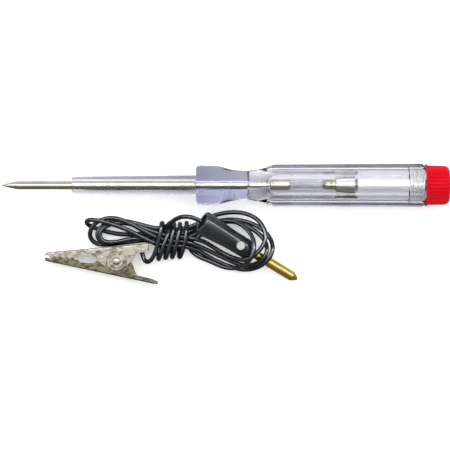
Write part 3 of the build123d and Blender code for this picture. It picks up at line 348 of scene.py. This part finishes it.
# ------------------------------------------------------------------------ lead
# stations on the centreline: x, y, z, then the direction there as x, y, z
LEAD_STATIONS = [
    (-86.8007, -22.0291, 1.9028, -0.82643, 0.49911, 0.26060),
    (-99.1903, -14.5693, 5.7722, -0.82171, 0.50998, 0.25437),
    (-104.4845, -12.6029, 5.9329, -0.94797, 0.07964, -0.30823),
    (-110.1471, -14.0657, 1.2195, -0.57655, -0.38710, -0.71954),
    (-112.9977, -16.2627, -2.0520, -0.63097, -0.45103, -0.63123),
    (-115.2775, -17.1490, -3.7039, -0.89243, -0.10242, -0.43941),
    (-121.9931, -16.1643, -5.4045, -0.96250, 0.25646, -0.08842),
    (-131.8074, -14.2632, -5.6700, -0.99951, -0.00470, 0.03098),
    (-139.3058, -16.6203, -5.4986, -0.75674, -0.65371, -0.00114),
    (-140.8314, -20.8202, -5.5609, 0.35071, -0.93629, -0.01887),
    (-135.9331, -23.0758, -5.6045, 0.99923, 0.03936, 0.00021),
    (-128.0257, -21.6503, -5.7351, 0.97639, 0.21294, -0.03641),
    (-120.1144, -20.5391, -5.7835, 0.99723, 0.04848, 0.05650),
    (-114.1232, -20.2646, -5.5168, 0.99737, 0.06991, -0.01910),
    (-106.2085, -19.1716, -5.3916, 0.96653, 0.24319, -0.08176),
    (-99.7842, -16.9110, -6.9185, 0.92229, 0.34893, -0.16620),
    (-91.2735, -14.0954, -7.1718, 0.98253, 0.18056, 0.04513),
    (-78.7140, -15.4154, -5.1811, 0.87674, -0.37591, 0.30002),
    (-71.6705, -21.2145, -1.4000, 0.45452, -0.78549, 0.42003),
    (-71.1680, -27.4422, 0.9981, -0.37451, -0.91121, 0.17159),
    (-74.8349, -31.8009, 0.2232, -0.73939, -0.49328, -0.45824),
    (-80.1572, -33.7420, -3.7882, -0.81823, -0.09738, -0.56659),
    (-86.4346, -32.9982, -6.3655, -0.94995, 0.27943, -0.13969),
    (-94.6896, -29.5988, -6.1139, -0.87053, 0.47771, 0.11819),
    (-100.6217, -26.1859, -4.8175, -0.87344, 0.42571, 0.23637),
    (-106.1950, -24.5300, -3.7355, -0.98811, 0.11468, 0.10239),
    (-115.0972, -23.8528, -3.2746, -0.97600, 0.19625, 0.09438),
    (-122.4529, -21.0034, -2.3077, -0.88824, 0.45885, 0.02202),
    (-129.6546, -17.5080, -2.2702, -0.92395, 0.37956, 0.04745),
    (-138.2276, -14.6771, -1.4531, -0.96432, 0.25498, 0.07125),
    (-143.0985, -13.8479, -1.9115, -0.92980, 0.00037, -0.36805),
    (-145.3066, -14.7744, -4.4457, -0.01664, -0.47752, -0.87846),
    (-142.4690, -16.9340, -7.1497, 0.90419, -0.37518, -0.20416),
    (-137.7160, -18.4782, -7.3788, 0.96921, -0.24625, 0.00174),
    (-125.8040, -19.6360, -7.2549, 0.99602, 0.07762, 0.04378),
    (-118.9424, -18.6963, -6.2718, 0.96130, 0.10037, 0.25658),
    (-113.0781, -18.2181, -5.0655, 0.99286, 0.10504, 0.05656),
    (-106.1567, -17.2869, -5.0023, 0.98046, 0.19650, -0.00890),
    (-99.6738, -14.8319, -5.2794, 0.86926, 0.49388, -0.02157),
    (-93.3818, -11.8591, -5.0778, 0.95461, 0.28743, 0.07808),
    (-83.6704, -10.9220, -3.3046, 0.94736, -0.11215, 0.29988),
    (-74.5551, -16.5424, 1.1181, 0.45703, -0.82516, 0.33202),
    (-74.1140, -22.9977, 3.0462, -0.37156, -0.89915, 0.23126),
    (-77.7796, -27.7363, 4.0634, -0.76116, -0.64824, 0.02046),
    (-81.1478, -29.6275, 3.0485, -0.83613, -0.22561, -0.49999),
    (-86.0347, -29.0803, -0.8016, -0.78887, 0.25634, -0.55854),
    (-92.9876, -25.6971, -3.4402, -0.83715, 0.54196, -0.07393),
    (-99.1268, -22.2625, -3.1302, -0.93511, 0.34443, 0.08334),
    (-108.9417, -20.5483, -3.4889, -0.99481, 0.07942, -0.06358),
    (-117.7393, -18.8305, -3.7383, -0.95135, 0.30777, -0.01427),
    (-129.1938, -15.2704, -4.0438, -0.99073, 0.13540, -0.01128),
    (-137.0471, -16.2292, -3.7782, -0.89334, -0.44834, 0.03054),
    (-139.7770, -20.7085, -3.7239, 0.32061, -0.94720, -0.00480),
    (-134.8866, -22.8206, -3.7243, 0.99726, 0.07394, 0.00059),
    (-127.9677, -21.6080, -3.8294, 0.98805, 0.15005, -0.03522),
    (-121.0557, -21.6468, -4.2643, 0.98588, -0.13807, -0.09476),
    (-115.1778, -22.1868, -5.1159, 0.98708, 0.00910, -0.15997),
    (-107.2762, -21.3155, -5.5162, 0.98252, 0.18618, 0.00021),
    (-99.7927, -18.6364, -5.8148, 0.89046, 0.45476, -0.01660),
    (-90.6051, -14.8008, -5.2913, 0.97443, 0.19105, 0.11822),
    (-77.7213, -18.1816, -2.4475, 0.77141, -0.55822, 0.30547),
    (-73.4251, -23.0223, 0.0583, 0.36888, -0.84230, 0.39302),
    (-73.7959, -28.3411, 1.6338, -0.53438, -0.84520, 0.00863),
    (-77.1925, -31.2607, 0.1510, -0.75189, -0.36076, -0.55183),
    (-82.0269, -32.0117, -3.1433, -0.89267, 0.10525, -0.43825),
    (-91.1566, -28.6201, -4.4179, -0.90194, 0.42562, 0.07311),
    (-100.2050, -24.4025, -3.6644, -0.91268, 0.40639, 0.04309),
    (-105.9045, -22.6644, -3.6434, -0.99204, 0.12120, -0.03409),
    (-112.8778, -22.0150, -3.5200, -0.98120, 0.17617, 0.07883),
    (-121.2379, -18.8659, -2.3554, -0.87233, 0.47855, 0.10012),
    (-129.2204, -14.6053, -2.2750, -0.90703, 0.40589, -0.11208),
    (-136.8960, -13.2239, -3.8637, -0.97343, -0.13228, -0.18692),
    (-142.8375, -16.4407, -4.9393, -0.60560, -0.77644, -0.17432),
    (-143.3996, -21.6701, -6.4410, 0.53061, -0.80301, -0.27134),
    (-137.2767, -23.7457, -7.3667, 0.99730, 0.07088, -0.01916),
    (-129.3045, -22.8579, -7.3800, 0.99377, 0.11144, -0.00008),
    (-123.3823, -22.1276, -7.2154, 0.99119, 0.08641, 0.10034),
    (-119.6002, -22.5591, -6.5017, 0.89485, -0.37490, 0.24226),
    (-116.0470, -24.0295, -5.5064, 0.95356, -0.23731, 0.18548),
    (-109.1474, -23.8019, -5.4969, 0.98000, 0.19360, -0.04604),
    (-102.4561, -21.7692, -5.0401, 0.88389, 0.42718, 0.19042),
    (-96.8120, -17.7598, -4.0211, 0.78816, 0.61006, 0.08145),
    (-89.8812, -14.3116, -2.9250, 0.94730, 0.14802, 0.28409),
    (-81.0246, -17.5473, 1.9030, 0.61772, -0.62457, 0.47785),
    (-78.1885, -25.0885, 5.4637, -0.09213, -0.96342, 0.25168),
    (-80.3650, -30.3963, 5.0661, -0.53023, -0.63115, -0.56614),
    (-82.5960, -32.1206, 1.9920, -0.56914, -0.29187, -0.76869),
    (-88.0717, -33.1574, -2.5855, -0.90455, 0.08966, -0.41683),
    (-95.5080, -30.5875, -4.3594, -0.90775, 0.39892, -0.12985),
    (-100.8450, -28.1907, -5.6329, -0.82131, 0.48023, -0.30795),
    (-104.0504, -24.8756, -7.0129, -0.40667, 0.89296, -0.19296),
    (-105.0601, -19.0515, -7.3800, -0.05370, 0.99849, 0.01117),
    (-105.1216, -15.1597, -5.3689, 0.02011, 0.27696, 0.96067),
    (-105.1418, -18.3997, -1.4171, -0.07094, -0.95804, 0.27773),
    (-106.1689, -24.3696, -1.1199, -0.25671, -0.95645, -0.13895),
    (-107.5819, -28.4452, -3.1897, -0.27414, -0.50749, -0.81688),
    (-108.1358, -27.8939, -6.3655, -0.02016, 0.76744, -0.64081),
    (-108.0037, -23.2131, -7.3800, 0.02880, 0.99958, 0.00354),
    (-107.9209, -19.1794, -7.3408, 0.01766, 0.99685, 0.07726),
    (-107.8171, -15.4993, -4.9887, 0.01511, 0.20034, 0.97961),
    (-108.1802, -18.9954, -1.2564, -0.15114, -0.96139, 0.22997),
    (-109.5147, -24.9168, -1.2283, -0.26388, -0.94483, -0.19407),
    (-110.5509, -28.2575, -2.9176, -0.23753, -0.62470, -0.74386),
    (-111.0059, -28.2530, -6.1439, 0.00917, 0.67998, -0.73317),
    (-110.6928, -23.7121, -7.3800, 0.06890, 0.99762, -0.00128),
    (-110.4444, -19.6787, -7.3570, 0.05999, 0.99690, 0.05086),
    (-110.1323, -15.6440, -5.3461, 0.05520, 0.38865, 0.91973),
    (-110.1701, -16.7567, -2.1771, -0.08680, -0.80320, 0.58935),
    (-111.0280, -21.4486, -0.9440, -0.24003, -0.97045, 0.02458),
    (-112.7335, -27.1611, -1.9020, -0.29354, -0.85382, -0.42990),
    (-113.6220, -29.1458, -4.6841, -0.11802, 0.05327, -0.99158),
    (-113.4035, -25.8238, -7.3093, 0.11049, 0.98717, -0.11525),
    (-113.0328, -21.8370, -7.3800, 0.07331, 0.99731, 0.00000),
    (-112.7425, -17.8696, -7.3502, 0.09415, 0.99265, 0.07606),
    (-112.1464, -15.2892, -5.5678, 0.22433, 0.03108, 0.97402),
    (-111.9581, -17.5441, -2.9739, -0.16031, -0.83866, 0.52053),
    (-113.1530, -21.0327, -1.4453, -0.34609, -0.91646, 0.20079),
    (-115.1462, -26.7328, -1.5693, -0.31473, -0.90587, -0.28345),
    (-116.4326, -29.5319, -4.6973, -0.14039, 0.08069, -0.98680),
    (-116.1798, -26.1493, -7.3038, 0.15313, 0.98133, -0.11639),
    (-115.5342, -22.1457, -7.3800, 0.15490, 0.98793, 0.00000),
    (-114.8212, -16.3794, -6.2813, 0.04251, 0.78368, 0.61971),
    (-115.0940, -15.5740, -2.1604, -0.10939, -0.62191, 0.77541),
    (-115.5394, -19.0909, -0.7541, -0.15810, -0.98559, 0.06010),
    (-117.0628, -24.9810, -1.2847, -0.31496, -0.93711, -0.15043),
    (-119.0088, -29.4496, -2.3806, -0.53998, -0.76475, -0.35153),
    (-121.5814, -30.4019, -4.1413, -0.70659, 0.51576, -0.48448),
    (-122.7441, -28.0907, -4.7997, -0.22650, 0.97332, -0.03659),
    (-123.5054, -26.2752, -4.8000, -0.69930, 0.71482, 0.00060),
    (-126.3200, -25.6200, -4.8000, -0.99839, -0.05670, 0.00006),
]


def arc(start, way, end, count=7):
    """Points from start, leaving along way, up to but not including end."""
    chord = end - start
    across = chord - way * chord.dot(way)
    if across.length < 1e-4 * chord.length:
        return [start + chord * (i / count) for i in range(count)]
    inward = across.normalized()
    radius = chord.dot(chord) / (2 * across.length)
    sweep = 2 * math.asin(min(1.0, chord.length / (2 * radius)))
    return [start + inward * (radius - radius * math.cos(sweep * i / count))
            + way * (radius * math.sin(sweep * i / count)) for i in range(count)]


def lead_line():
    """Join neighbouring stations by two arcs that meet with a common tangent."""
    out = []
    stations = [(Vector(row[:3]), Vector(row[3:]).normalized()) for row in LEAD_STATIONS]
    for (start, leave), (end, arrive) in zip(stations[:-1], stations[1:]):
        gap = end - start
        turn = 2 * (1 - leave.dot(arrive))
        run = gap.dot(leave + arrive)
        if turn < 1e-9:
            reach = gap.dot(gap) / (2 * run)
        else:
            reach = (-run + math.sqrt(run * run + turn * gap.dot(gap))) / turn
        joint = (start + end + (leave - arrive) * reach) / 2
        chord = joint - start
        joint_way = chord * (2 * chord.dot(leave) / chord.dot(chord)) - leave
        out += arc(start, leave, joint) + arc(joint, joint_way.normalized(), end)
    return out + [stations[-1][0]]


cable = tube("cable_jacket_pvc", lead_line(), LEAD_RADIUS, 20, black_pvc, wobble=0.006)
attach(cable, "lead")
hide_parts("cable_jacket")


# --------------------------------------------------------------------- springs
def contact_coil():
    """Close turns at both ends, open turns between."""
    left = SEAT_LEFT_X + CONTACT_WIRE + SEAT_GAP
    right = SEAT_RIGHT_X - CONTACT_WIRE - SEAT_GAP
    closed = CLOSED_TURNS * CLOSED_PITCH
    angle = np.linspace(0, CONTACT_TURNS * 2 * math.pi, 900)
    x = np.interp(angle / (2 * math.pi),
                  [0, CLOSED_TURNS, CONTACT_TURNS - CLOSED_TURNS, CONTACT_TURNS],
                  [left, left + closed, right - closed, right])
    return np.stack([x, CONTACT_RADIUS * np.sin(angle), CONTACT_RADIUS * np.cos(angle)], 1)


spring = tube("contact_spring_wire", contact_coil(), CONTACT_WIRE, 12, spring_steel)
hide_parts("contact_spring")
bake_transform(spring)


def clip_point(u, v, z):
    return CLIP_PIVOT + CLIP_U * u + CLIP_V * v + Vector((0, 0, z))


# upper leg of the torsion spring from its tip to the coil, as u, v; the lower mirrors it
leg_v = (SPINE_START_V + (LEG_TIP_U - SPINE_START_U) * SPINE_SLOPE
         - SPINE_INSET - COIL_WIRE - LEG_GAP)
leg_path = [(LEG_TIP_U, leg_v), (8.0, leg_v - 1.0), (4.8, leg_v - 2.6),
            (2.4, COIL_RADIUS + 0.55), (0.9, COIL_RADIUS + 0.08)]

# the coil and upper leg stay with the upper jaw
coil_angles = np.linspace(math.pi / 2, math.pi / 2 - COIL_TURNS * 2 * math.pi, COIL_POINTS)
coil = [clip_point(COIL_RADIUS * math.cos(a), COIL_RADIUS * math.sin(a),
                   COIL_HEIGHT / 2 - COIL_HEIGHT * i / (COIL_POINTS - 1))
        for i, a in enumerate(coil_angles)]
upper_leg = [clip_point(u, v, COIL_HEIGHT / 2) for u, v in leg_path]
clip_coil = tube("clip_spring_coil", smooth_curve(upper_leg + coil[3::4], step=0.25),
                 COIL_WIRE, 12, spring_steel)
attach(clip_coil, "lead")
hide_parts("clip_spring")

# the lower leg runs along the lower jaw
lower_leg = [clip_point(u, -v, -COIL_HEIGHT / 2)
             for u, v in [(-0.5, COIL_RADIUS)] + leg_path[::-1]]
clip_leg = tube("clip_spring_leg", smooth_curve(lower_leg, step=0.25),
                COIL_WIRE, 12, spring_steel)
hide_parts("clip_spring")
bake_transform(clip_leg)


# -------------------------------------------------------------------- filament
def filament_coil():
    t = np.linspace(0, 1, 700)[:, None]
    base = FILAMENT_LEFT * (1 - t) + FILAMENT_RIGHT * t
    base[:, 2:] += FILAMENT_RISE * np.sin(np.pi * t)
    axis = FILAMENT_RIGHT - FILAMENT_LEFT
    axis /= np.linalg.norm(axis)
    level = np.cross(axis, [0, 0, 1.0])
    level /= np.linalg.norm(level)
    spin = t * FILAMENT_TURNS * 2 * math.pi
    return base + FILAMENT_RADIUS * (np.cos(spin) * level + np.sin(spin) * np.cross(axis, level))


filament = tube("lamp_filament_coil", filament_coil(), FILAMENT_WIRE, 8, tungsten)
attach(filament, "handle")
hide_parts("lamp_filament")


# --------------------------------------------------------- stage, all in metres
def floor_material():
    """White, with lifted shadows when seen directly; darker in mirror reflections,
    most of all to the front."""
    m = Material("floor_white")
    white = m.ramp(m.noise(scale=3.0), [(0.3, (0.90, 0.90, 0.90)), (0.7, (0.92, 0.92, 0.92))])
    path = m.node("ShaderNodeLightPath").outputs
    incoming = m.node("ShaderNodeNewGeometry").outputs["Incoming"]
    y = m.node("ShaderNodeSeparateXYZ", {"Vector": incoming}).outputs["Y"]
    mirrored = m.ramp(m.remap(y, to=(0.0, 1.0), over=(-1.0, 1.0)),
                      [(0.1, (0.50, 0.49, 0.46)), (0.9, (0.13, 0.12, 0.095))])
    glossy_only = m.node("ShaderNodeMath", {
        0: path["Is Glossy Ray"], 1: path["Is Transmission Ray"]},
        operation="SUBTRACT", use_clamp=True)
    mix = m.node("ShaderNodeMixRGB", {
        "Fac": glossy_only.outputs[0], "Color1": white, "Color2": mirrored})
    m.set(Base_Color=mix.outputs["Color"], Roughness=0.85, Specular_IOR_Level=0.2,
          Emission_Color=rgba((0.30, 0.30, 0.30)), Emission_Strength=path["Is Camera Ray"])
    return m.material


FLOOR_DROP = 0.00005  # below the table height
bpy.ops.mesh.primitive_plane_add(size=6.0, location=(-0.09, 0, TABLE_Z * MM - FLOOR_DROP))
floor = bpy.context.active_object
floor.name = "floor"
floor.data.materials.append(floor_material())

# studio brightness from the front horizon (0), over the top (0.5), to the back horizon (1)
STUDIO_STOPS = [
    (0.0, (0.125, 0.113, 0.090)), (0.10, (0.120, 0.108, 0.085)),
    (0.27, (0.20, 0.187, 0.155)), (0.36, (0.34, 0.325, 0.29)),
    (0.43, (0.72, 0.71, 0.69)), (0.49, (0.98, 0.97, 0.96)),
    (0.55, (0.98, 0.97, 0.96)), (0.61, (0.70, 0.69, 0.67)),
    (0.68, (0.58, 0.57, 0.55)), (1.0, (0.68, 0.67, 0.65)),
]


def build_world(world):
    world.use_nodes = True
    world.node_tree.nodes.clear()
    w = Nodes(world.node_tree)

    def background(colour):
        return w.node("ShaderNodeBackground", {"Color": colour, "Strength": 1.0}).outputs[0]

    def mix(fac, first, second):
        return w.node("ShaderNodeMixShader", {"Fac": fac, 1: first, 2: second}).outputs[0]

    generated = w.node("ShaderNodeTexCoord").outputs["Generated"]
    way = w.node("ShaderNodeSeparateXYZ", {"Vector": generated}).outputs
    lean = w.node("ShaderNodeMath", {0: way["Y"], 1: way["Z"]}, operation="ARCTAN2")
    place = w.remap(lean.outputs[0], to=(0.0, 1.0), over=(-math.pi / 2, math.pi / 2))
    studio = background(w.ramp(place, STUDIO_STOPS))
    # light after a diffuse bounce comes evenly from all round, so shadows stay faint
    path = w.node("ShaderNodeLightPath").outputs
    bounced = w.node("ShaderNodeMath", {0: path["Diffuse Depth"], 1: 0.5},
                     operation="GREATER_THAN")
    lit = mix(bounced.outputs[0], studio, background(rgba((0.80, 0.80, 0.81))))
    seen = mix(path["Is Camera Ray"], lit, background(rgba((0.93, 0.93, 0.935))))
    w.node("ShaderNodeOutputWorld", {"Surface": seen})


scene = bpy.context.scene
scene.world = bpy.data.worlds.new("studio")
build_world(scene.world)


def area(name, at, aim, size, power):
    data = bpy.data.lights.new(name, "AREA")
    data.shape = "RECTANGLE"
    data.size, data.size_y = size
    data.energy = power
    light = bpy.data.objects.new(name, data)
    scene.collection.objects.link(light)
    light.location = at
    light.rotation_mode = "QUATERNION"
    light.rotation_quaternion = (Vector(aim) - Vector(at)).to_track_quat("-Z", "Y")
    light.visible_camera = False
    return light


soft = area("soft", at=(-0.09, 0.30, 0.62), aim=(-0.09, -0.01, 0), size=(1.4, 0.8), power=6.0)
soft.visible_glossy = False
strip = area("strip", at=(-0.09, 0.155, 0.68), aim=(-0.09, -0.005, 0),
             size=(1.4, 0.12), power=2.4)
strip.visible_diffuse = False
# a narrow highlight that only the black lead and plug catch
edge = area("edge", at=(-0.09, 0.325, 0.61), aim=(-0.09, -0.005, 0),
            size=(3.0, 0.11), power=14.0)
edge.visible_diffuse = False
black_parts = bpy.data.collections.new("black_parts")
for part in (cable, nodes["plug_sleeve"]):
    black_parts.objects.link(part)
edge.light_linking.receiver_collection = black_parts

# the camera looks straight down
lens = bpy.data.cameras.new("camera")
lens.sensor_width = 36.0
lens.lens = 200.0
lens.clip_start = 0.01
lens.clip_end = 20
camera = bpy.data.objects.new("camera", lens)
scene.collection.objects.link(camera)
camera.location = (-0.0897, -0.0159, 1.0)
scene.camera = camera
scene.view_settings.view_transform = "Standard"
scene.view_settings.look = "None"
